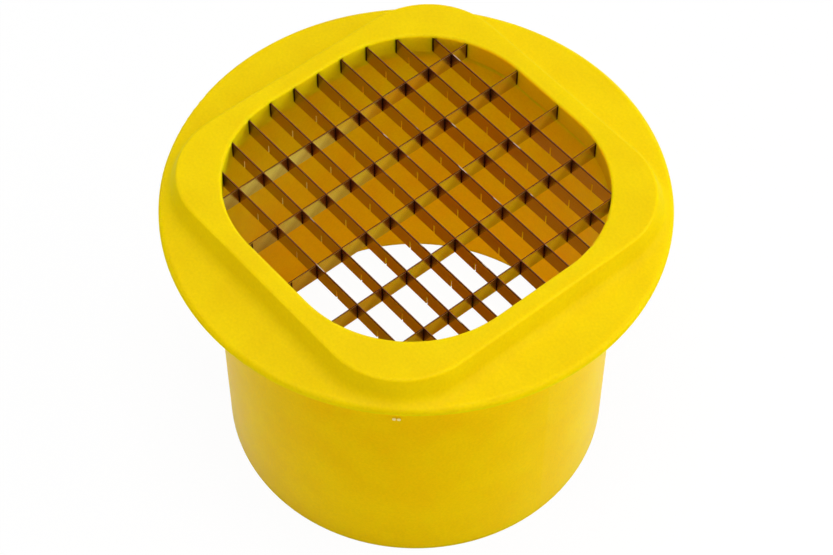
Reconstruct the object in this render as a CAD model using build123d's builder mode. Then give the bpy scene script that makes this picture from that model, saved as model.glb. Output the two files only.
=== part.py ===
"""French fry cutter: a drop-through grid of steel blades held between two plastic mouldings.

The long blades run along X and the cross blades along Y.  They slot into each other like an
egg crate and go up into the top frame from below, where the guide tube's ledge holds them.
Origin: centre of the foot circle, on the surface the cutter stands on.  +Z is up.
"""
import os
from math import radians, sqrt, tan

from build123d import *

os.makedirs("parts", exist_ok=True)

# ---------------------------------------------------------------------------
# Driving dimensions, in millimetres and degrees
# ---------------------------------------------------------------------------

# Blades and their spacing
fry_width = 10.0              # spacing of the long blades, and of the slits in them
long_blade_count = 10
cross_blade_count = 5
slits_per_cross_blade = 2     # a cross blade stands in every second slit
blade_depth = 7.0
blade_thickness = 0.5
edge_bevel_depth = 0.3        # the ground cutting edge along the top
edge_thickness = 0.3          # what the grinding leaves of the top edge
slit_play = 0.1               # a slit is this much wider and deeper than what it holds
blade_seat = 3.0              # how far a blade's end stands in the wall
slot_play = 0.7               # a moulded slot in the wall is this much wider than a blade
blade_end_play = 0.2          # room behind the end of a blade
blade_top_play = 0.1          # room above a blade in its seat

# The square mouth that the potato goes through
mouth_setback = 8.45          # the mouth's sides stand this far inside the tube's bore
mouth_corner = 42.0           # radius of the mouth's corners
mouth_lip = 1.0               # rounding of the mouth's upper edge
blade_recess = 1.1            # blade edges below the collar's top

# Collar of the top frame
collar_height = 8.0           # above the flange
collar_land = 5.4             # from the mouth's side to where the collar's top edge is rounded
collar_corner = 26.4          # corner radius of the flat top
collar_draft = 22.5           # slope of the collar's outside, from the vertical
collar_edge_round = 1.2
collar_foot_round = 4.3       # hollow where the collar meets the flange
collar_wall = 4.4             # the wall that the blades stand in
core_gap = 1.6                # hollow behind that wall
core_depth = 4.0

# Flange
flange_reach = 16.4           # the rim stands this far outside the tube
rim_thickness = 2.2
rim_round = 2.0

# Guide tube
tube_length = 108.0           # foot to the underside of its seat flange
seat_thickness = 1.5
seat_inset = 0.3              # the seat flange is this much smaller in radius than the rim
seat_bevel = 1.2              # bevel of the seat flange's lower edge
ledge_reach = 1.4             # the ledge under the blades starts this far outside the mouth
spigot_play = 0.1             # fit of the guide tube's spigot in the top frame
tube_diameter = 134.1         # outside, under the flange
tube_taper = 0.9              # the foot's diameter is this much smaller
tube_wall = 2.0               # under the flange
foot_wall = 1.2
throat_round = 2.0            # outside corner between the tube and the seat flange
foot_bevel = 0.3

# ---------------------------------------------------------------------------
# Heights and half widths that follow from them
# ---------------------------------------------------------------------------

flange_bottom = tube_length + seat_thickness
flange_top = flange_bottom + rim_thickness
collar_top = flange_top + collar_height
blade_top = collar_top - blade_recess
blade_bottom = blade_top - blade_depth
spigot_height = blade_bottom - flange_bottom

tube_radius = tube_diameter / 2
bore_radius = tube_radius - tube_wall
foot_radius = tube_radius - tube_taper / 2
foot_bore_radius = foot_radius - foot_wall
slit_width = blade_thickness + slit_play
slit_depth = blade_depth / 2 + slit_play
slot_width = blade_thickness + slot_play
rim_radius = tube_radius + flange_reach
seat_radius = rim_radius - seat_inset
mouth_half = bore_radius - mouth_setback
mouth_straight = mouth_half - mouth_corner
wall_half = mouth_half + collar_wall
core_half = wall_half + core_gap
spigot_half = core_half - spigot_play
ledge_half = mouth_half + ledge_reach

edge_setback = collar_edge_round * tan(radians(90 - collar_draft) / 2)
collar_slope = collar_height * tan(radians(collar_draft))
collar_foot_half = mouth_half + collar_land + edge_setback + collar_slope
collar_foot_corner = collar_corner + edge_setback + collar_slope


def around_mouth(half, mode=Mode.ADD):
    """Draw the outline that runs at one distance around the mouth."""
    return RectangleRounded(2 * half, 2 * half, mouth_corner + half - mouth_half, mode=mode)


def blade_reach(offset):
    """Half the length of the blade that stands this far off centre."""
    past_straight = max(abs(offset) - mouth_straight, 0)
    return mouth_straight + sqrt(mouth_corner**2 - past_straight**2) + blade_seat


def spread(count, pitch):
    """Positions of this many things at one pitch, centred on zero."""
    return [(index - (count - 1) / 2) * pitch for index in range(count)]


long_places = spread(long_blade_count, fry_width)
slit_places = spread(slits_per_cross_blade * cross_blade_count, fry_width)
cross_places = slit_places[slits_per_cross_blade - 1::slits_per_cross_blade]

# ---------------------------------------------------------------------------
# Top frame: flange, raised collar and the walls that the blades stand in
# ---------------------------------------------------------------------------

with BuildPart() as top_frame:
    # A plate wider than the flange, so that the collar's foot is hollowed all the way round
    with BuildSketch(Plane.XY.offset(flange_bottom)):
        Circle(2 * rim_radius)
    extrude(amount=rim_thickness)
    with BuildSketch(Plane.XY.offset(flange_top)):
        RectangleRounded(2 * collar_foot_half, 2 * collar_foot_half, collar_foot_corner)
    extrude(amount=collar_height, taper=collar_draft)
    plate_top = top_frame.faces().filter_by(Plane.XY).sort_by(Axis.Z)[-2]
    fillet(plate_top.inner_wires().edges(), collar_foot_round)
    fillet(top_frame.faces().sort_by(Axis.Z)[-1].edges(), collar_edge_round)

    # Cut to the round rim, which the corners of the collar just reach
    with BuildSketch(Plane.XY.offset(flange_bottom)):
        Circle(rim_radius)
    extrude(amount=collar_top - flange_bottom, mode=Mode.INTERSECT)
    rim_wall = top_frame.faces().filter_by(GeomType.CYLINDER).sort_by(SortBy.AREA)[-1]
    rim_edges = rim_wall.edges().filter_by_position(Axis.Z, flange_bottom + rim_round, collar_top)
    fillet(rim_edges, rim_round)

    # The mouth and its rounded lip
    with BuildSketch(Plane.XY.offset(flange_bottom)):
        around_mouth(mouth_half)
    extrude(amount=collar_top - flange_bottom, mode=Mode.SUBTRACT)
    fillet(top_frame.faces().sort_by(Axis.Z)[-1].inner_wires().edges(), mouth_lip)

    # On the underside: the recess for the guide tube's spigot, and a hollow behind the wall
    with BuildSketch(Plane.XY.offset(flange_bottom)):
        around_mouth(core_half)
    extrude(amount=spigot_height, mode=Mode.SUBTRACT)
    with BuildSketch(Plane.XY.offset(blade_bottom)):
        around_mouth(core_half)
        around_mouth(wall_half, mode=Mode.SUBTRACT)
    extrude(amount=core_depth, mode=Mode.SUBTRACT)

    # Slots that the blade ends go up into, open at the bottom of the wall
    with BuildSketch(Plane.XY.offset(blade_bottom)):
        for place in long_places:
            with Locations((0, place)):
                Rectangle(2 * (blade_reach(place) + blade_end_play), slot_width)
        for place in cross_places:
            with Locations((place, 0)):
                Rectangle(slot_width, 2 * (blade_reach(place) + blade_end_play))
    extrude(amount=blade_depth + blade_top_play, mode=Mode.SUBTRACT)

# ---------------------------------------------------------------------------
# Guide tube: the round tube, its seat flange and the ledge that holds the blades up
# ---------------------------------------------------------------------------

with BuildPart() as guide_tube:
    # Tube wall and seat flange, turned in one piece
    with BuildSketch(Plane.XZ):
        with BuildLine():
            Polyline((foot_bore_radius, 0), (foot_radius, 0), (tube_radius, tube_length),
                     (seat_radius - seat_bevel, tube_length),
                     (seat_radius, tube_length + seat_bevel),
                     (seat_radius, flange_bottom), (bore_radius, flange_bottom),
                     (foot_bore_radius, 0))
        outline = make_face()
        corners = outline.vertices().group_by(Axis.Y)
        chamfer(corners[0], foot_bevel)
        fillet(corners[1].sort_by(Axis.X)[0], throat_round)
    revolve(axis=Axis.Z)

    # Plate across the top of the bore, with the spigot standing on it, open at the mouth
    with BuildSketch(Plane.XY.offset(tube_length)):
        Circle(tube_radius)
        around_mouth(ledge_half, mode=Mode.SUBTRACT)
    extrude(amount=seat_thickness)
    with BuildSketch(Plane.XY.offset(flange_bottom)):
        around_mouth(spigot_half)
        around_mouth(ledge_half, mode=Mode.SUBTRACT)
    extrude(amount=spigot_height)

# ---------------------------------------------------------------------------
# Blades
# ---------------------------------------------------------------------------


def blade_section():
    """Draw a blade across its length: a strip with its top edge ground from both sides."""
    face_half = blade_thickness / 2
    edge_half = edge_thickness / 2
    bevel_start = blade_top - edge_bevel_depth
    Polygon((-face_half, blade_bottom), (face_half, blade_bottom), (face_half, bevel_start),
            (edge_half, blade_top), (-edge_half, blade_top), (-face_half, bevel_start), align=None)


for number, place in enumerate(long_places, start=1):
    with BuildPart() as long_blade:
        with BuildSketch(Plane(origin=(0, place, 0), x_dir=(0, 1, 0), z_dir=(1, 0, 0))):
            blade_section()
        extrude(amount=blade_reach(place), both=True)
        # Slits from below at every place where a cross blade can stand
        with BuildSketch(Plane.XY.offset(blade_bottom)):
            for slit in slit_places:
                with Locations((slit, place)):
                    Rectangle(slit_width, fry_width / 2)
        extrude(amount=slit_depth, mode=Mode.SUBTRACT)
    long_blade.part.label = f"long_blade_{number:02d}"
    export_step(long_blade.part, f"parts/long_blade_{number:02d}.step")

for number, place in enumerate(cross_places, start=1):
    with BuildPart() as cross_blade:
        with BuildSketch(Plane(origin=(place, 0, 0), x_dir=(1, 0, 0), z_dir=(0, -1, 0))):
            blade_section()
        extrude(amount=blade_reach(place), both=True)
        # Slits from above, one over each long blade
        with BuildSketch(Plane.XY.offset(blade_top)):
            for slit in long_places:
                with Locations((place, slit)):
                    Rectangle(fry_width / 2, slit_width)
        extrude(amount=-slit_depth, mode=Mode.SUBTRACT)
    cross_blade.part.label = f"cross_blade_{number:02d}"
    export_step(cross_blade.part, f"parts/cross_blade_{number:02d}.step")

top_frame.part.label = "top_frame"
guide_tube.part.label = "guide_tube"
export_step(top_frame.part, "parts/top_frame.step")
export_step(guide_tube.part, "parts/guide_tube.step")
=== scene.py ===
"""French fry cutter: the finishes of its mouldings and blades, its gate mark, and its stage."""
import math

import bpy
from mathutils import Matrix, Vector


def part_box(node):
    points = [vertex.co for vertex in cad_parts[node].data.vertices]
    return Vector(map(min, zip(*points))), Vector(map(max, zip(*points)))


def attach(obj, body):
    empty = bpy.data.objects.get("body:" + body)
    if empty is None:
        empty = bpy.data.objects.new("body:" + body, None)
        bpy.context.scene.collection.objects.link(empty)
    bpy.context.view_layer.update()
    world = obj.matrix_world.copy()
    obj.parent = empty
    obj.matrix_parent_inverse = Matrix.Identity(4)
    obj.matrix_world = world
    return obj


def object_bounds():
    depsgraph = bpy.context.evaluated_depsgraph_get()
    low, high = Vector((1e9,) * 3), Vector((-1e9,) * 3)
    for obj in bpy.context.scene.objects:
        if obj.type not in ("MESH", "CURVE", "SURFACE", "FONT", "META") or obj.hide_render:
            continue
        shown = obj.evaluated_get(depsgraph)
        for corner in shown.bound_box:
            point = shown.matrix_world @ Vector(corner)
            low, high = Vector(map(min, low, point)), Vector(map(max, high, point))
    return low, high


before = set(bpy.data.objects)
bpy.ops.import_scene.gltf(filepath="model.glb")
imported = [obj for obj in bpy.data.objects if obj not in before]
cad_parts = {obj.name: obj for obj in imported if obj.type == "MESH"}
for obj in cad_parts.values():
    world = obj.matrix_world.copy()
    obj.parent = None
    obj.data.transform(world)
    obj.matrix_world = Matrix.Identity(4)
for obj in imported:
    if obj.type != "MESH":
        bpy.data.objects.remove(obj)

bl_info = {
    "name": "French Fry Cutter",
    "version": (1, 0, 0),
    "blender": (4, 5, 0),
    "location": "View3D > Sidebar > Fry Cutter",
    "description": "Finishes a french fry cutter with a steel blade grid in a moulded frame",
    "category": "Object",
}

MM = 0.001

# Sizes of the solids that their boxes don't give
FOOT_RADIUS = 66.6 * MM              # outside of the tube, at its foot
TUBE_RADIUS = 67.05 * MM             # outside of the tube, under the flange
WALL_MIDDLE = 66.0 * MM              # radius between the bore and the outside of the tube
MOUTH_HALF = 56.6 * MM
MOUTH_CORNER = 42.0 * MM
MOUTH_STRAIGHT = MOUTH_HALF - MOUTH_CORNER
MOUTH_REACH = 62.75 * MM             # from the axis to just past the mouth's corners
SLIT_WIDTH = 0.6 * MM
BEVEL_DEPTH = 0.3 * MM

# Sizes that come from the solids' boxes
CAD_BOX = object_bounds()
TOP_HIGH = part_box("top_frame")[1]
TUBE_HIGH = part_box("guide_tube")[1]
BLADE_LOW, BLADE_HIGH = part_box("long_blade_05")
BLADE_DEPTH = BLADE_HIGH.z - BLADE_LOW.z
STRIP_HALF = (BLADE_HIGH.y - BLADE_LOW.y) / 2

LONG_BLADES = tuple(sorted(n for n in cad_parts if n.startswith("long_blade")))
CROSS_BLADES = tuple(sorted(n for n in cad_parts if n.startswith("cross_blade")))


def blade_places(names, axis):
    """First blade's place and the pitch of a row of blades, from their boxes."""
    places = [sum(corner[axis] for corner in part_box(name)) / 2 for name in names]
    return places[0], places[1] - places[0]


CROSS_PLACE, CROSS_PITCH = blade_places(CROSS_BLADES, 0)
LONG_PLACE, LONG_PITCH = blade_places(LONG_BLADES, 1)

# Materials
PLASTIC_IOR = 1.49
NOISE_LOW = 0.3                      # most of a noise lies between these two
NOISE_HIGH = 0.7
LIP_FADE = 0.6 * MM                  # height over which the painted light and shade inside fade at the lip
CLOUD_LENGTH = 12 * MM
STROKE_LENGTH = 3 * MM
STROKE_SLANT = math.radians(45)
GLINT_SPACING = 6 * MM
SLIT_PAST_MIDDLE = 0.15 * MM         # just above a slit's top, from the middle of a blade's depth
FIRST_MARGIN = 1.0 * MM              # this far before the first crossing, the wall counts instead
TORN_SIZE = 0.3 * MM
TORN_DEPTH = 0.05 * MM
SHADE_SLOPE = 0.5                    # width of a corner's painted shade for its height
SHADE_FULL = -0.5 * MM               # past the painted shade's slanting edge
SHADE_END = 0.4 * MM
CREVICE_FULL = 0.45 * MM             # past the middle of the blade that crosses
CREVICE_END = 0.65 * MM
EDGE_BLUR = 0.03 * MM                # half the width of a sharp change of colour
HAIR = 0.01 * MM                     # enough to tell one face from the next

# Stage
FLOOR_SIZE = 6.0
FLOOR_GREY = (0.97, 0.97, 0.97, 1)
FLOOR_SHOWN_WHITE = 0.96             # the rest of what is seen of the floor takes the shadow
SIDE_LAMP_PLACE = (0.72, 0.74, 0.60)
SIDE_LAMP_SIZE = 0.8
TOP_LAMP_PLACE = (0.10, -0.08, 1.18)
TOP_LAMP_SIZE = 0.5
SENSOR_WIDTH = 36.0
CLIP_START = 0.01
CLIP_END = 20.0


# ---------------------------------------------------------------------------
# Sizes and colours a user would change
# ---------------------------------------------------------------------------

def to_linear(hex_colour):
    """Turn an sRGB hex value into the linear colour that the shaders take."""
    parts = [int(hex_colour[start:start + 2], 16) / 255 for start in (0, 2, 4)]
    linear = [part / 12.92 if part <= 0.04045 else ((part + 0.055) / 1.055) ** 2.4
              for part in parts]
    return (*linear, 1.0)


def colour(name, description, hex_colour):
    """A colour setting, kept linear, with its default from a hex value."""
    return bpy.props.FloatVectorProperty(name=name, description=description, subtype="COLOR",
                                         size=4, min=0, max=1, default=to_linear(hex_colour))


class PlasticSettings(bpy.types.PropertyGroup):
    """Yellow plastic of both mouldings."""
    body: colour("Plastic", "Colour of the plastic", "ECCE03")
    # Painted light and shade on the mouth's wall: a lit colour on its -X and -Y sides, a shaded one
    # on +X and +Y
    mouth: colour("Mouth", "Colour of the mouth's wall on its -X and -Y sides", "FFE204")
    shaded_mouth: colour("Shaded mouth", "Colour of the mouth's wall on its +X and +Y sides",
                         "FFBE02")
    tube_body: colour("Tube plastic", "Colour of the guide tube outside", "FFCB03")
    # Painted light and shade inside the bore: darker and redder at the foot, paler on the side that
    # the cross blades mirror
    tube_bore: colour("Tube bore", "Colour inside the guide tube at its top", "FFE706")
    bore_foot: colour("Foot of the bore", "Colour inside the guide tube at its foot", "FFC604")
    bore_side: colour("Side of the bore", "Colour of the side that the cross blades mirror",
                      "FFE80C")
    flow: colour("Flow marks", "What dims the colour along a flow mark", "FBF8F2")
    roughness: bpy.props.FloatProperty(name="Roughness", description="How dull the moulded skin is",
                                       default=0.5, min=0, max=1, subtype="FACTOR")
    tube_roughness: bpy.props.FloatProperty(name="Tube roughness",
                                            description="How dull the tube's skin is",
                                            default=0.34, min=0, max=1, subtype="FACTOR")
    gloss: bpy.props.FloatProperty(name="Gloss", description="Strength of the top frame's gloss",
                                   default=0.04, min=0, max=1, subtype="FACTOR")
    tube_gloss: bpy.props.FloatProperty(name="Tube gloss",
                                        description="Strength of the guide tube's gloss",
                                        default=0.02, min=0, max=1, subtype="FACTOR")
    frame_glow: bpy.props.FloatProperty(name="Frame glow",
                                        description="Depth light reaches in the top frame",
                                        default=2.0 * MM, min=0, unit="LENGTH")
    frame_glow_share: bpy.props.FloatVectorProperty(
        name="Frame glow by colour", description="Share of the depth that each colour reaches",
        default=(1.0, 1.0, 0.15), min=0, max=1, subtype="XYZ")
    tube_glow: bpy.props.FloatProperty(name="Tube glow",
                                       description="Depth light reaches in the guide tube",
                                       default=4.0 * MM, min=0, unit="LENGTH")
    tube_glow_share: bpy.props.FloatVectorProperty(
        name="Tube glow by colour", description="Share of the depth that each colour reaches",
        default=(1.0, 0.6, 0.15), min=0, max=1, subtype="XYZ")
    flow_size: bpy.props.FloatProperty(name="Flow mark size",
                                       description="Width of one flow mark",
                                       default=14 * MM, min=0.001, unit="LENGTH")
    grain_size: bpy.props.FloatProperty(name="Skin grain",
                                        description="Width of one dimple in the skin",
                                        default=0.9 * MM, min=0.0001, unit="LENGTH")
    grain_depth: bpy.props.FloatProperty(name="Grain depth",
                                         description="Depth of one dimple in the skin",
                                         default=0.04 * MM, min=0, unit="LENGTH")


class SteelSettings(bpy.types.PropertyGroup):
    """Stainless strip of the blades."""
    body: colour("Rolled steel", "Colour of the long blades", "BC9F8C")
    # Painted light: the cross blades' steel is brighter and yellower than the long blades'
    brushed: colour("Brushed steel", "Colour of the cross blades", "F4F7B6")
    # Painted shade on the cross blades towards a cell's bottom corner
    corner_shade: colour("Smeared steel", "Colour of the cross blades at a cell's bottom corner",
                    "D4CA8E")
    stroke: colour("Brush strokes", "What dims the colour along a brush stroke", "F4F6EE")
    # Painted shade and painted reflection beside a crossing, a wedge on each strip
    stain: colour("Corner stain", "What dims a strip's colour beside a crossing", "B9A6C0")
    # Painted shade right in the corner at a crossing and at a blade's end by the wall
    crevice_shade: colour("Crevice", "What dims a strip's colour right in the corner", "8A6A80")
    cut: colour("Cut steel", "Colour of the slits' sides", "DCCB98")
    # Painted dark reflection on the blades' ground bevels and flat tops
    bevel: colour("Ground bevel", "Colour of the bevels along a long blade's top", "5E2C12")
    rolled_land: colour("Long land", "Colour of a long blade's flat top", "885430")
    # Painted glints along a long blade's flat top
    painted_glint: colour("Nicks", "Colour of the nicks along a long blade's flat top", "C4AE98")
    brushed_land: colour("Cross land", "Colour of a cross blade's flat top", "6A3014")
    roughness: bpy.props.FloatProperty(name="Roughness", description="How dull the strip is",
                                       default=0.17, min=0, max=1, subtype="FACTOR")
    brushed_roughness: bpy.props.FloatProperty(name="Brushed roughness",
                                               description="How dull the brushed strip is",
                                               default=0.25, min=0, max=1, subtype="FACTOR")
    line_pitch: bpy.props.FloatProperty(name="Rolling lines",
                                        description="Height of one rolling line",
                                        default=2.0 * MM, min=0.0001, unit="LENGTH")
    stroke_pitch: bpy.props.FloatProperty(name="Brush strokes",
                                          description="Width of one brush stroke",
                                          default=0.4 * MM, min=0.0001, unit="LENGTH")


class GateSettings(bpy.types.PropertyGroup):
    """Two trimmed nubs where the plastic ran into the guide tube's mould."""
    azimuth: bpy.props.FloatProperty(name="Place", description="Place around the tube",
                                     default=math.radians(-45.5), subtype="ANGLE",
                                     unit="ROTATION")
    height: bpy.props.FloatProperty(name="Height", description="Height above the foot",
                                    default=81.9 * MM, min=0, unit="LENGTH")
    spacing: bpy.props.FloatProperty(name="Spacing", description="Between the two nubs",
                                     default=1.5 * MM, min=0.0001, unit="LENGTH")
    radius: bpy.props.FloatProperty(name="Radius", description="Radius of one nub",
                                    default=0.62 * MM, min=0.0001, unit="LENGTH")
    depth: bpy.props.FloatProperty(name="Depth",
                                   description="Height of a nub before its top is dished",
                                   default=0.35 * MM, min=0.0001, unit="LENGTH")
    body: colour("Torn plastic", "Colour of the plastic where it was trimmed", "FFF09C")


class StageSettings(bpy.types.PropertyGroup):
    """Floor, lamps and camera."""
    target: bpy.props.FloatVectorProperty(name="Target",
                                          description="Point that the camera looks at",
                                          default=(0.0290, -0.0244, 0.1186), subtype="XYZ",
                                          unit="LENGTH")
    azimuth: bpy.props.FloatProperty(name="Azimuth",
                                     description="Camera's place around the cutter",
                                     default=math.radians(49.6395), subtype="ANGLE",
                                     unit="ROTATION")
    elevation: bpy.props.FloatProperty(name="Elevation",
                                       description="Camera's height above level",
                                       default=math.radians(53.5119), subtype="ANGLE",
                                       unit="ROTATION")
    roll: bpy.props.FloatProperty(name="Roll", description="Camera's tilt about its own line",
                                  default=math.radians(-0.2075), subtype="ANGLE",
                                  unit="ROTATION")
    distance: bpy.props.FloatProperty(name="Distance", description="Camera to target",
                                      default=0.73550, min=0.1, unit="LENGTH")
    lens: bpy.props.FloatProperty(name="Lens", description="Focal length for a 36 mm sensor",
                                  default=101.95, min=10, unit="CAMERA")
    world_light: bpy.props.FloatProperty(name="World light", description="Light from all round",
                                         default=0.49, min=0)
    side_light: bpy.props.FloatProperty(name="Side lamp",
                                        description="Power of the lamp at +X and +Y",
                                        default=5.0, min=0, unit="POWER")
    top_light: bpy.props.FloatProperty(name="Top lamp", description="Power of the lamp overhead",
                                       default=6.5, min=0, unit="POWER")
    # Painted shade and painted light from the yellow plastic on the floor inside the foot, which
    # the blades mirror
    floor_left: colour("Floor inside, -X", "Colour of the floor inside the foot, at -X", "E2AD1A")
    floor_right: colour("Floor inside, +X", "Colour of the floor inside the foot, at +X", "B18331")
    floor_back: colour("Floor inside, +Y", "Colour of the floor inside the foot, at +Y", "FFFAB8")


# ---------------------------------------------------------------------------
# Materials
# ---------------------------------------------------------------------------

def add_node(tree, kind, inputs=None, **settings):
    """Add a shader node, set its properties, and fill or link its inputs."""
    node = tree.nodes.new(kind)
    for key, value in settings.items():
        setattr(node, key, value)
    for key, value in (inputs or {}).items():
        if isinstance(value, bpy.types.NodeSocket):
            tree.links.new(value, node.inputs[key])
        else:
            node.inputs[key].default_value = value
    return node


def new_material(name):
    """Make an empty node material and return it with its tree."""
    material = bpy.data.materials.new(name)
    material.use_nodes = True
    material.node_tree.nodes.clear()
    return material, material.node_tree


def inner_light_and_shade(tree, place, outer, foot, near, far, side, start, end, radius, top):
    """Colour of a moulding: `outer`, but painted light and shade within `radius` and below `top`.

    They run from `foot` on the ground up to `near`, and change to `far` where the place along
    `side` passes from `start` to `end`.
    """
    height = add_node(tree, "ShaderNodeSeparateXYZ", {"Vector": place}).outputs["Z"]
    lift = add_node(tree, "ShaderNodeMapRange", {"Value": height, "From Max": TUBE_HIGH.z})
    risen = add_node(tree, "ShaderNodeMix", {0: lift.outputs[0], 6: foot, 7: near},
                     data_type="RGBA")
    aside = add_node(tree, "ShaderNodeVectorMath", {0: place, 1: side}, operation="DOT_PRODUCT")
    far_share = add_node(tree, "ShaderNodeMapRange",
                         {"Value": aside.outputs["Value"], "From Min": start, "From Max": end},
                         interpolation_type="SMOOTHSTEP")
    inside = add_node(tree, "ShaderNodeMix",
                      {0: far_share.outputs[0], 6: risen.outputs[2], 7: far}, data_type="RGBA")
    level = add_node(tree, "ShaderNodeVectorMath", {0: place, 1: (1, 1, 0)},
                     operation="MULTIPLY")
    off_axis = add_node(tree, "ShaderNodeVectorMath", {0: level.outputs[0]}, operation="LENGTH")
    near_axis = add_node(tree, "ShaderNodeMath", {0: off_axis.outputs["Value"], 1: radius},
                         operation="LESS_THAN")
    below = add_node(tree, "ShaderNodeMapRange",
                     {"Value": height, "From Min": top - LIP_FADE, "From Max": top,
                      "To Min": 1.0, "To Max": 0.0})
    share = add_node(tree, "ShaderNodeMath", {0: near_axis.outputs[0], 1: below.outputs[0]},
                     operation="MULTIPLY")
    mixed = add_node(tree, "ShaderNodeMix",
                     {0: share.outputs[0], 6: outer, 7: inside.outputs[2]}, data_type="RGBA")
    return mixed.outputs[2]


def moulded_polypropylene(settings, name, body, inside, roughness, gloss, glow, glow_share):
    """Polypropylene, injection moulded in a polished tool.

    The skin is smooth with a soft gloss and faint dimples, and the colour drifts a little
    where the plastic flowed.  It lets a little light in, so edges and corners glow warmer.
    """
    material, tree = new_material(name)
    place = add_node(tree, "ShaderNodeTexCoord").outputs["Object"]
    flow = add_node(tree, "ShaderNodeTexNoise",
                    {"Vector": place, "Scale": 1 / settings.flow_size, "Detail": 2.0,
                     "Roughness": 0.45})
    flow_share = add_node(tree, "ShaderNodeMapRange",
                          {"Value": flow.outputs["Fac"], "From Min": 0.35,
                           "From Max": NOISE_HIGH})
    tint = add_node(tree, "ShaderNodeMix",
                    {0: flow_share.outputs[0], 6: inner_light_and_shade(tree, place, body, **inside),
                     7: settings.flow}, data_type="RGBA", blend_type="MULTIPLY")
    # The dimples get a little painted shade at the bottom, and are glossier there
    grain = add_node(tree, "ShaderNodeTexNoise",
                     {"Vector": place, "Scale": 1 / settings.grain_size, "Detail": 2.0,
                      "Roughness": 0.5})
    dullness = add_node(tree, "ShaderNodeMapRange",
                        {"Value": grain.outputs["Fac"], "From Min": NOISE_LOW,
                         "From Max": NOISE_HIGH, "To Min": roughness - 0.04,
                         "To Max": roughness + 0.05})
    dimple_shade = add_node(tree, "ShaderNodeMapRange",
                      {"Value": grain.outputs["Fac"], "From Min": NOISE_LOW,
                       "From Max": NOISE_HIGH, "To Min": 0.93, "To Max": 1.0})
    tint = add_node(tree, "ShaderNodeMix", {0: 1.0, 6: tint.outputs[2], 7: dimple_shade.outputs[0]},
                    data_type="RGBA", blend_type="MULTIPLY")
    bump = add_node(tree, "ShaderNodeBump",
                    {"Height": grain.outputs["Fac"], "Strength": 1.0,
                     "Distance": settings.grain_depth})
    shader = add_node(tree, "ShaderNodeBsdfPrincipled",
                      {"Base Color": tint.outputs[2], "Roughness": dullness.outputs[0],
                       "IOR": PLASTIC_IOR, "Specular IOR Level": gloss,
                       "Subsurface Weight": 1.0, "Subsurface Radius": glow_share,
                       "Subsurface Scale": glow, "Normal": bump.outputs["Normal"]})
    add_node(tree, "ShaderNodeOutputMaterial", {"Surface": shader.outputs["BSDF"]})
    return material


def trimmed_polypropylene(settings):
    """Polypropylene where the cutters took the gate off.

    The torn plastic is paler than the skin, with small rough patches.
    """
    material, tree = new_material("trimmed_polypropylene")
    place = add_node(tree, "ShaderNodeTexCoord").outputs["Object"]
    torn = add_node(tree, "ShaderNodeTexNoise",
                    {"Vector": place, "Scale": 1 / TORN_SIZE, "Detail": 2.0})
    dullness = add_node(tree, "ShaderNodeMapRange",
                        {"Value": torn.outputs["Fac"], "From Min": NOISE_LOW,
                         "From Max": NOISE_HIGH, "To Min": 0.3, "To Max": 0.6})
    bump = add_node(tree, "ShaderNodeBump",
                    {"Height": torn.outputs["Fac"], "Strength": 0.5, "Distance": TORN_DEPTH})
    shader = add_node(tree, "ShaderNodeBsdfPrincipled",
                      {"Base Color": settings.body, "Roughness": dullness.outputs[0],
                       "IOR": PLASTIC_IOR, "Normal": bump.outputs["Normal"]})
    add_node(tree, "ShaderNodeOutputMaterial", {"Surface": shader.outputs["BSDF"]})
    return material


def past_crossing(tree, place, axis, across, turn, first, pitch):
    """Distance along a blade past the last crossing, or past the wall before the `first` one.

    `turn` is 1 or -1, as the blade is followed up or down its axis.  The second result goes on
    counting in pitches up to the wall, as if blades crossed there too.
    """
    split = add_node(tree, "ShaderNodeSeparateXYZ", {"Vector": place})
    # Where the mouth's wall stands, which is nearer for a blade that ends in a corner
    off_centre = add_node(tree, "ShaderNodeMath", {0: split.outputs[across]},
                          operation="ABSOLUTE")
    off_straight = add_node(tree, "ShaderNodeMath", {0: off_centre.outputs[0], 1: MOUTH_STRAIGHT},
                            operation="SUBTRACT")
    in_corner = add_node(tree, "ShaderNodeMath", {0: off_straight.outputs[0], 1: 0.0},
                         operation="MAXIMUM")
    squared = add_node(tree, "ShaderNodeMath",
                       {0: in_corner.outputs[0], 1: in_corner.outputs[0]},
                       operation="MULTIPLY")
    left = add_node(tree, "ShaderNodeMath", {0: MOUTH_CORNER**2, 1: squared.outputs[0]},
                    operation="SUBTRACT")
    curved = add_node(tree, "ShaderNodeMath", {0: left.outputs[0]}, operation="SQRT")
    wall = add_node(tree, "ShaderNodeMath",
                    {0: curved.outputs[0], 1: MOUTH_STRAIGHT + STRIP_HALF}, operation="ADD")
    off_wall = add_node(tree, "ShaderNodeMath",
                        {0: split.outputs[axis], 1: turn, 2: wall.outputs[0]},
                        operation="MULTIPLY_ADD")
    shifted = add_node(tree, "ShaderNodeMath",
                       {0: split.outputs[axis], 1: turn, 2: -turn * first},
                       operation="MULTIPLY_ADD")
    past = add_node(tree, "ShaderNodeMath", {0: shifted.outputs[0], 1: pitch, 2: 0.0},
                    operation="WRAP")
    before = add_node(tree, "ShaderNodeMath", {0: shifted.outputs[0], 1: -FIRST_MARGIN},
                      operation="LESS_THAN")
    along = add_node(tree, "ShaderNodeMix",
                     {0: before.outputs[0], 2: past.outputs[0], 3: off_wall.outputs[0]},
                     data_type="FLOAT")
    return along.outputs[0], past.outputs[0]


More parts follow.
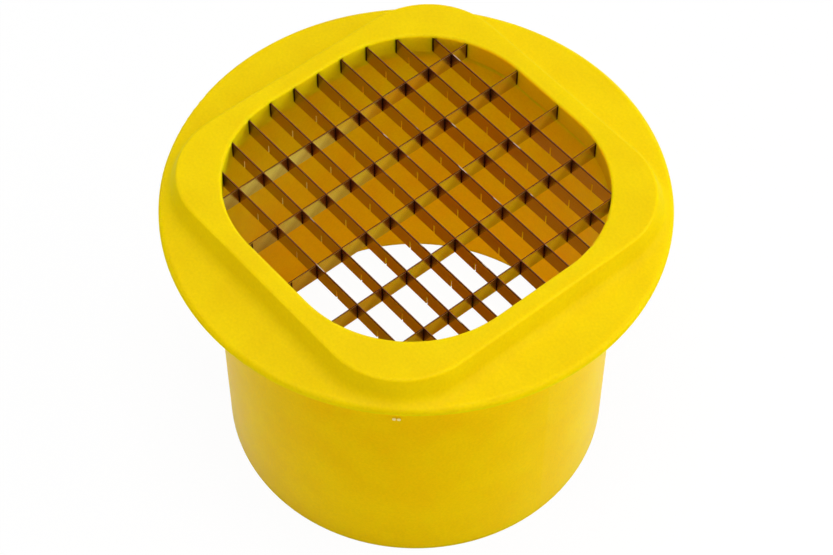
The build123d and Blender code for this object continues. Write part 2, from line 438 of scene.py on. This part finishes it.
def strip_colour(tree, place, settings, body, along, bevel, land):
    """Colour of a strip: painted shade beside the blade that crosses it, and a painted dark
    reflection along the top edge.

    The painted shade is a wedge, darkest in a thin line right in the corner.  It also stands in
    for what two blades mirror in each other there.
    `along` is the distance past the last crossing.
    """
    height = add_node(tree, "ShaderNodeSeparateXYZ", {"Vector": place}).outputs["Z"]
    rise = add_node(tree, "ShaderNodeMath", {0: height, 1: BLADE_LOW.z}, operation="SUBTRACT")
    past_wedge = add_node(tree, "ShaderNodeMath",
                          {0: rise.outputs[0], 1: -SHADE_SLOPE, 2: along},
                          operation="MULTIPLY_ADD")
    # Painted shade and painted reflection in a wedge beside the blade that crosses
    wedge_shaded = add_node(tree, "ShaderNodeMapRange",
                       {"Value": past_wedge.outputs[0], "From Min": SHADE_FULL,
                        "From Max": SHADE_END, "To Min": 1.0, "To Max": 0.0})
    strip = add_node(tree, "ShaderNodeMix", {0: wedge_shaded.outputs[0], 6: body, 7: settings.stain},
                     data_type="RGBA", blend_type="MULTIPLY")
    # Painted shade in a thin line right in the corner
    crevice_shaded = add_node(tree, "ShaderNodeMapRange",
                        {"Value": along, "From Min": CREVICE_FULL, "From Max": CREVICE_END,
                         "To Min": 1.0, "To Max": 0.0})
    strip = add_node(tree, "ShaderNodeMix",
                     {0: crevice_shaded.outputs[0], 6: strip.outputs[2], 7: settings.crevice_shade},
                     data_type="RGBA", blend_type="MULTIPLY")
    # The bevel and the flat top take colours painted as a dark reflection
    bevel_start = BLADE_HIGH.z - BEVEL_DEPTH
    ground = add_node(tree, "ShaderNodeMapRange",
                      {"Value": height, "From Min": bevel_start - EDGE_BLUR,
                       "From Max": bevel_start + EDGE_BLUR})
    strip = add_node(tree, "ShaderNodeMix", {0: ground.outputs[0], 6: strip.outputs[2], 7: bevel},
                     data_type="RGBA")
    flat = add_node(tree, "ShaderNodeMath", {0: height, 1: BLADE_HIGH.z - HAIR},
                    operation="GREATER_THAN")
    strip = add_node(tree, "ShaderNodeMix", {0: flat.outputs[0], 6: strip.outputs[2], 7: land},
                     data_type="RGBA")
    return strip.outputs[2]


def rolled_stainless(settings):
    """Stainless strip of the long blades, cold rolled, with its top edge ground.

    The rolled faces mirror the plastic around them a little softly, with faint clouds where
    the rolling was uneven.
    """
    material, tree = new_material("rolled_stainless")
    place = add_node(tree, "ShaderNodeTexCoord").outputs["Object"]
    clouds_place = add_node(tree, "ShaderNodeMapping",
                            {"Vector": place,
                             "Scale": (1 / CLOUD_LENGTH, 1 / CLOUD_LENGTH,
                                       1 / settings.line_pitch)},
                            vector_type="POINT")
    clouds = add_node(tree, "ShaderNodeTexNoise",
                      {"Vector": clouds_place.outputs[0], "Scale": 1.0, "Detail": 3.0,
                       "Roughness": 0.6})
    dullness = add_node(tree, "ShaderNodeMapRange",
                        {"Value": clouds.outputs["Fac"], "From Min": NOISE_LOW,
                         "From Max": NOISE_HIGH, "To Min": settings.roughness - 0.03,
                         "To Max": settings.roughness + 0.03})
    along, past = past_crossing(tree, place, "X", "Y", 1, CROSS_PLACE, CROSS_PITCH)
    # The sides of the empty slit halfway between two cross blades are cut bright
    at_slit = add_node(tree, "ShaderNodeMath",
                       {0: past, 1: CROSS_PITCH / 2, 2: SLIT_WIDTH / 2 + HAIR},
                       operation="COMPARE")
    height = add_node(tree, "ShaderNodeSeparateXYZ", {"Vector": place}).outputs["Z"]
    slit_top = (BLADE_LOW.z + BLADE_HIGH.z) / 2 + SLIT_PAST_MIDDLE
    below_top = add_node(tree, "ShaderNodeMath", {0: height, 1: slit_top},
                         operation="LESS_THAN")
    cut_share = add_node(tree, "ShaderNodeMath", {0: at_slit.outputs[0], 1: below_top.outputs[0]},
                         operation="MULTIPLY")
    body = add_node(tree, "ShaderNodeMix",
                    {0: cut_share.outputs[0], 6: settings.body, 7: settings.cut},
                    data_type="RGBA")
    # Painted glints here and there along the flat top
    glints = add_node(tree, "ShaderNodeTexNoise",
                     {"Vector": place, "Scale": 1 / GLINT_SPACING, "Detail": 1.0})
    glinted = add_node(tree, "ShaderNodeMapRange",
                      {"Value": glints.outputs["Fac"], "From Min": 0.66, "From Max": NOISE_HIGH})
    land = add_node(tree, "ShaderNodeMix",
                    {0: glinted.outputs[0], 6: settings.rolled_land, 7: settings.painted_glint},
                    data_type="RGBA")
    shader = add_node(tree, "ShaderNodeBsdfPrincipled",
                      {"Base Color": strip_colour(tree, place, settings, body.outputs[2], along,
                                                  settings.bevel, land.outputs[2]),
                       "Metallic": 1.0, "Roughness": dullness.outputs[0]})
    add_node(tree, "ShaderNodeOutputMaterial", {"Surface": shader.outputs["BSDF"]})
    return material


def brushed_stainless(settings):
    """Stainless strip of the cross blades, brushed at a slant, with its top edge ground.

    It is brighter than the rolled strip, as painted light, with painted shade towards a cell's
    bottom corner.  The brush leaves faint slanting strokes.
    """
    material, tree = new_material("brushed_stainless")
    place = add_node(tree, "ShaderNodeTexCoord").outputs["Object"]
    slant = add_node(tree, "ShaderNodeMapping",
                     {"Vector": place, "Rotation": (STROKE_SLANT, 0, 0)}, vector_type="TEXTURE")
    strokes_place = add_node(tree, "ShaderNodeMapping",
                             {"Vector": slant.outputs[0],
                              "Scale": (1 / STROKE_LENGTH, 1 / STROKE_LENGTH,
                                        1 / settings.stroke_pitch)},
                             vector_type="POINT")
    strokes = add_node(tree, "ShaderNodeTexNoise",
                       {"Vector": strokes_place.outputs[0], "Scale": 1.0, "Detail": 2.0,
                        "Roughness": 0.6})
    stroked = add_node(tree, "ShaderNodeMapRange",
                       {"Value": strokes.outputs["Fac"], "From Min": NOISE_LOW,
                        "From Max": NOISE_HIGH})
    last_place = LONG_PLACE + (len(LONG_BLADES) - 1) * LONG_PITCH
    along = past_crossing(tree, place, "Y", "X", -1, last_place, LONG_PITCH)[0]
    # `reach` runs from 0 in a cell's bottom corner to 2 at its top and far end; the cross blades
    # get painted shade towards that corner
    height = add_node(tree, "ShaderNodeSeparateXYZ", {"Vector": place}).outputs["Z"]
    rise = add_node(tree, "ShaderNodeMath",
                    {0: height, 1: 1 / BLADE_DEPTH, 2: -BLADE_LOW.z / BLADE_DEPTH},
                    operation="MULTIPLY_ADD")
    reach = add_node(tree, "ShaderNodeMath", {0: along, 1: 1 / LONG_PITCH, 2: rise.outputs[0]},
                     operation="MULTIPLY_ADD")
    light_share = add_node(tree, "ShaderNodeMapRange",
                     {"Value": reach.outputs[0], "From Min": 0.6, "From Max": 1.4},
                     interpolation_type="SMOOTHSTEP")
    # The cross blades' colour, with painted shade towards a cell's bottom corner
    clear = add_node(tree, "ShaderNodeMix",
                     {0: light_share.outputs[0], 6: settings.corner_shade, 7: settings.brushed},
                     data_type="RGBA")
    body = add_node(tree, "ShaderNodeMix",
                    {0: stroked.outputs[0], 6: clear.outputs[2], 7: settings.stroke},
                    data_type="RGBA", blend_type="MULTIPLY")
    dullness = add_node(tree, "ShaderNodeMapRange",
                        {"Value": strokes.outputs["Fac"], "From Min": NOISE_LOW,
                         "From Max": NOISE_HIGH, "To Min": settings.brushed_roughness - 0.02,
                         "To Max": settings.brushed_roughness + 0.02})
    shader = add_node(tree, "ShaderNodeBsdfPrincipled",
                      {"Base Color": strip_colour(tree, place, settings, body.outputs[2], along,
                                                  clear.outputs[2], settings.brushed_land),
                       "Metallic": 1.0, "Roughness": dullness.outputs[0]})
    add_node(tree, "ShaderNodeOutputMaterial", {"Surface": shader.outputs["BSDF"]})
    return material


def dress(node_names, material):
    """Give these CAD nodes one material."""
    for name in node_names:
        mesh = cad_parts[name].data
        mesh.materials.clear()
        mesh.materials.append(material)


# ---------------------------------------------------------------------------
# Operators
# ---------------------------------------------------------------------------

class CUTTER_OT_mouldings(bpy.types.Operator):
    """Give the top frame and the guide tube their moulded yellow finish"""
    bl_idname = "fry_cutter.mouldings"
    bl_label = "Finish the mouldings"

    def execute(self, context):
        settings = context.scene.fry_plastic
        # Painted light and shade on the mouth's wall: lit on its -X and -Y sides, shaded on +X and
        # +Y
        mouth = {"foot": settings.mouth, "near": settings.mouth, "far": settings.shaded_mouth,
                 "side": (0.7071, 0.7071, 0.0), "start": -20 * MM, "end": 30 * MM,
                 "radius": MOUTH_REACH, "top": TOP_HIGH.z - 0.1 * MM}
        dress(["top_frame"], moulded_polypropylene(
            settings, "moulded_polypropylene", settings.body, mouth, settings.roughness,
            settings.gloss, settings.frame_glow, settings.frame_glow_share))
        # Painted light and shade inside the bore: darker and redder towards the foot, and paler on
        # the side,
        # 30 degrees from +X towards +Y, that the cross blades mirror
        bore = {"foot": settings.bore_foot, "near": settings.tube_bore,
                "far": settings.bore_side, "side": (0.866, 0.5, 0.0), "start": 48 * MM,
                "end": 60 * MM, "radius": WALL_MIDDLE, "top": TUBE_HIGH.z + MM}
        dress(["guide_tube"], moulded_polypropylene(
            settings, "thin_polypropylene", settings.tube_body, bore, settings.tube_roughness,
            settings.tube_gloss, settings.tube_glow, settings.tube_glow_share))
        return {"FINISHED"}


class CUTTER_OT_blades(bpy.types.Operator):
    """Give the blades of the grid their rolled and brushed steel finishes"""
    bl_idname = "fry_cutter.blades"
    bl_label = "Finish the blades"

    def execute(self, context):
        settings = context.scene.fry_steel
        dress(LONG_BLADES, rolled_stainless(settings))
        dress(CROSS_BLADES, brushed_stainless(settings))
        return {"FINISHED"}


class CUTTER_OT_gate(bpy.types.Operator):
    """Add the gate mark, two trimmed nubs on the guide tube's wall"""
    bl_idname = "fry_cutter.gate"
    bl_label = "Add the gate mark"

    def execute(self, context):
        settings = context.scene.fry_gate
        bury = 0.4 * MM
        upward = 0.9
        rounding = 0.12 * MM
        lip = 0.15 * MM
        dish = 0.12 * MM
        bpy.ops.object.select_all(action="DESELECT")
        bpy.ops.mesh.primitive_cylinder_add(vertices=20, radius=settings.radius,
                                            depth=settings.depth + bury,
                                            location=(0, 0, (settings.depth - bury) / 2))
        piece = context.object
        piece.name = "gate_mark"
        bpy.ops.object.transform_apply(location=True)
        bpy.ops.object.mode_set(mode="EDIT")
        bpy.ops.mesh.select_all(action="DESELECT")
        bpy.ops.object.mode_set(mode="OBJECT")
        for face in piece.data.polygons:
            face.select = face.normal.z > upward
        bpy.ops.object.mode_set(mode="EDIT")
        bpy.ops.mesh.bevel(offset=rounding, segments=2, affect="EDGES")
        # Out of edit mode and back, or the bevel's faces would come in another order each run
        bpy.ops.object.mode_set(mode="OBJECT")
        bpy.ops.object.mode_set(mode="EDIT")
        # The cutters leave a shallow dish in the rounded top, all of which is still selected
        bpy.ops.mesh.inset(thickness=lip)
        bpy.ops.transform.translate(value=(0, 0, -dish))
        bpy.ops.mesh.select_all(action="SELECT")
        bpy.ops.transform.translate(value=(0, settings.spacing / 2, 0))
        bpy.ops.mesh.duplicate()
        bpy.ops.transform.translate(value=(0, -settings.spacing, 0))
        bpy.ops.object.mode_set(mode="OBJECT")
        # Local Z points out of the wall, and local Y lies level along it
        out = Vector((math.cos(settings.azimuth), math.sin(settings.azimuth), 0))
        level = Vector((-out.y, out.x, 0))
        wall = FOOT_RADIUS + (TUBE_RADIUS - FOOT_RADIUS) * settings.height / TUBE_HIGH.z
        spot = out * wall + Vector((0, 0, settings.height))
        turn = Matrix((level.cross(out), level, out)).transposed().to_4x4()
        piece.matrix_world = Matrix.Translation(spot) @ turn
        bpy.ops.object.transform_apply(location=True, rotation=True, scale=True)
        bpy.ops.object.shade_smooth_by_angle(angle=math.radians(40))
        piece.data.materials.append(trimmed_polypropylene(settings))
        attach(piece, "root")
        return {"FINISHED"}


class CUTTER_OT_stage(bpy.types.Operator):
    """Set the floor, the light and the camera"""
    bl_idname = "fry_cutter.stage"
    bl_label = "Set the stage"

    def execute(self, context):
        settings = context.scene.fry_stage
        self.make_floor(settings)
        self.make_world(context.scene, settings)
        self.make_lamp("side_lamp", SIDE_LAMP_PLACE, SIDE_LAMP_SIZE, settings.side_light)
        self.make_lamp("top_lamp", TOP_LAMP_PLACE, TOP_LAMP_SIZE, settings.top_light)
        self.make_camera(context.scene, settings)
        context.scene.view_settings.view_transform = "Standard"
        return {"FINISHED"}

    def make_floor(self, settings):
        """A pale floor that looks white and keeps a faint shadow."""
        bpy.ops.object.select_all(action="DESELECT")
        bpy.ops.mesh.primitive_plane_add(size=FLOOR_SIZE, location=(0, 0, CAD_BOX[0].z))
        floor = bpy.context.object
        floor.name = "floor"
        material, tree = new_material("pale_floor")
        place = add_node(tree, "ShaderNodeTexCoord").outputs["Object"]
        off_centre = add_node(tree, "ShaderNodeVectorMath", {0: place}, operation="LENGTH")
        outside = add_node(tree, "ShaderNodeMath",
                           {0: off_centre.outputs["Value"], 1: FOOT_RADIUS},
                           operation="GREATER_THAN")
        # The camera sees it white, and so do mirrors outside the foot
        rays = add_node(tree, "ShaderNodeLightPath")
        mirrored = add_node(tree, "ShaderNodeMath", {0: rays.outputs["Is Glossy Ray"],
                                                     1: rays.outputs["Is Transmission Ray"]},
                            operation="MAXIMUM")
        mirrored = add_node(tree, "ShaderNodeMath",
                            {0: mirrored.outputs[0], 1: outside.outputs[0]},
                            operation="MULTIPLY")
        seen = add_node(tree, "ShaderNodeMath", {0: rays.outputs["Is Camera Ray"],
                                                 1: mirrored.outputs[0]}, operation="MAXIMUM")
        share = add_node(tree, "ShaderNodeMath", {0: seen.outputs[0], 1: FLOOR_SHOWN_WHITE},
                         operation="MULTIPLY")
        # Inside the foot the floor is painted with shade and with light from the yellow plastic,
        # and the blades mirror it
        across = add_node(tree, "ShaderNodeSeparateXYZ", {"Vector": place})
        right = add_node(tree, "ShaderNodeMapRange",
                         {"Value": across.outputs["X"], "From Min": -10 * MM,
                          "From Max": 20 * MM}, interpolation_type="SMOOTHSTEP")
        back = add_node(tree, "ShaderNodeMapRange",
                        {"Value": across.outputs["Y"], "From Min": -20 * MM,
                         "From Max": 20 * MM}, interpolation_type="SMOOTHSTEP")
        shade = add_node(tree, "ShaderNodeMix",
                         {0: right.outputs[0], 6: settings.floor_left,
                          7: settings.floor_right}, data_type="RGBA")
        shade = add_node(tree, "ShaderNodeMix",
                         {0: back.outputs[0], 6: shade.outputs[2], 7: settings.floor_back},
                         data_type="RGBA")
        paint = add_node(tree, "ShaderNodeMix",
                         {0: outside.outputs[0], 6: shade.outputs[2], 7: FLOOR_GREY},
                         data_type="RGBA")
        matt = add_node(tree, "ShaderNodeBsdfDiffuse", {"Color": paint.outputs[2]})
        white = add_node(tree, "ShaderNodeEmission", {"Color": (1, 1, 1, 1), "Strength": 1.0})
        mix = add_node(tree, "ShaderNodeMixShader",
                       {0: share.outputs[0], 1: matt.outputs[0], 2: white.outputs[0]})
        add_node(tree, "ShaderNodeOutputMaterial", {"Surface": mix.outputs[0]})
        floor.data.materials.append(material)

    def make_world(self, scene, settings):
        """An even white surround, seen as white and lighting more softly."""
        world = bpy.data.worlds.new("soft_surround")
        world.use_nodes = True
        tree = world.node_tree
        tree.nodes.clear()
        rays = add_node(tree, "ShaderNodeLightPath")
        seen = add_node(tree, "ShaderNodeMath", {0: rays.outputs["Is Camera Ray"],
                                                 1: rays.outputs["Is Glossy Ray"]},
                        operation="MAXIMUM")
        strength = add_node(tree, "ShaderNodeMapRange",
                            {"Value": seen.outputs[0], "To Min": settings.world_light,
                             "To Max": 1.0})
        light = add_node(tree, "ShaderNodeBackground", {"Color": (1, 1, 1, 1),
                                                        "Strength": strength.outputs[0]})
        add_node(tree, "ShaderNodeOutputWorld", {"Surface": light.outputs[0]})
        scene.world = world

    def make_lamp(self, name, place, size, power):
        """A large square lamp aimed at the grid."""
        data = bpy.data.lights.new(name, "AREA")
        data.size = size
        data.energy = power
        lamp = bpy.data.objects.new(name, data)
        bpy.context.scene.collection.objects.link(lamp)
        lamp.location = place
        aim = Vector((0, 0, BLADE_HIGH.z)) - lamp.location
        lamp.rotation_mode = "QUATERNION"
        lamp.rotation_quaternion = aim.to_track_quat("-Z", "Y")

    def make_camera(self, scene, settings):
        """A long lens, high on the corner between +X and -Y."""
        azimuth = settings.azimuth
        elevation = settings.elevation
        back = Vector((math.sin(azimuth) * math.cos(elevation),
                       -math.cos(azimuth) * math.cos(elevation), math.sin(elevation)))
        right = Vector((math.cos(azimuth), math.sin(azimuth), 0))
        down = -back.cross(right)
        across = right * math.cos(settings.roll) + down * math.sin(settings.roll)
        up = back.cross(across)
        camera = bpy.data.objects.new("camera", bpy.data.cameras.new("camera"))
        scene.collection.objects.link(camera)
        place = Vector(settings.target) + back * settings.distance
        turn = Matrix((across, up, back)).transposed().to_4x4()
        camera.matrix_world = Matrix.Translation(place) @ turn
        camera.data.lens = settings.lens
        camera.data.sensor_width = SENSOR_WIDTH
        camera.data.clip_start = CLIP_START
        camera.data.clip_end = CLIP_END
        scene.camera = camera


class CUTTER_PT_panel(bpy.types.Panel):
    """Lists the cutter's pieces and its stage"""
    bl_idname = "CUTTER_PT_panel"
    bl_label = "Fry Cutter"
    bl_space_type = "VIEW_3D"
    bl_region_type = "UI"
    bl_category = "Fry Cutter"

    def draw(self, context):
        scene = context.scene
        for title, settings, operator in (
                ("Mouldings", scene.fry_plastic, CUTTER_OT_mouldings.bl_idname),
                ("Blades", scene.fry_steel, CUTTER_OT_blades.bl_idname),
                ("Gate mark", scene.fry_gate, CUTTER_OT_gate.bl_idname),
                ("Stage", scene.fry_stage, CUTTER_OT_stage.bl_idname)):
            box = self.layout.box()
            box.label(text=title)
            for key in settings.bl_rna.properties.keys():
                if key not in ("rna_type", "name"):
                    box.prop(settings, key)
            box.operator(operator)


CLASSES = (PlasticSettings, SteelSettings, GateSettings, StageSettings, CUTTER_OT_mouldings,
           CUTTER_OT_blades, CUTTER_OT_gate, CUTTER_OT_stage, CUTTER_PT_panel)
SETTINGS = {"fry_plastic": PlasticSettings, "fry_steel": SteelSettings, "fry_gate": GateSettings,
            "fry_stage": StageSettings}


def register():
    for cls in CLASSES:
        bpy.utils.register_class(cls)
    for name, group in SETTINGS.items():
        setattr(bpy.types.Scene, name, bpy.props.PointerProperty(type=group))


def unregister():
    for name in SETTINGS:
        delattr(bpy.types.Scene, name)
    for cls in reversed(CLASSES):
        bpy.utils.unregister_class(cls)


def main():
    register()
    bpy.ops.fry_cutter.mouldings()
    bpy.ops.fry_cutter.blades()
    bpy.ops.fry_cutter.gate()
    bpy.ops.fry_cutter.stage()


if __name__ == "__main__":
    main()
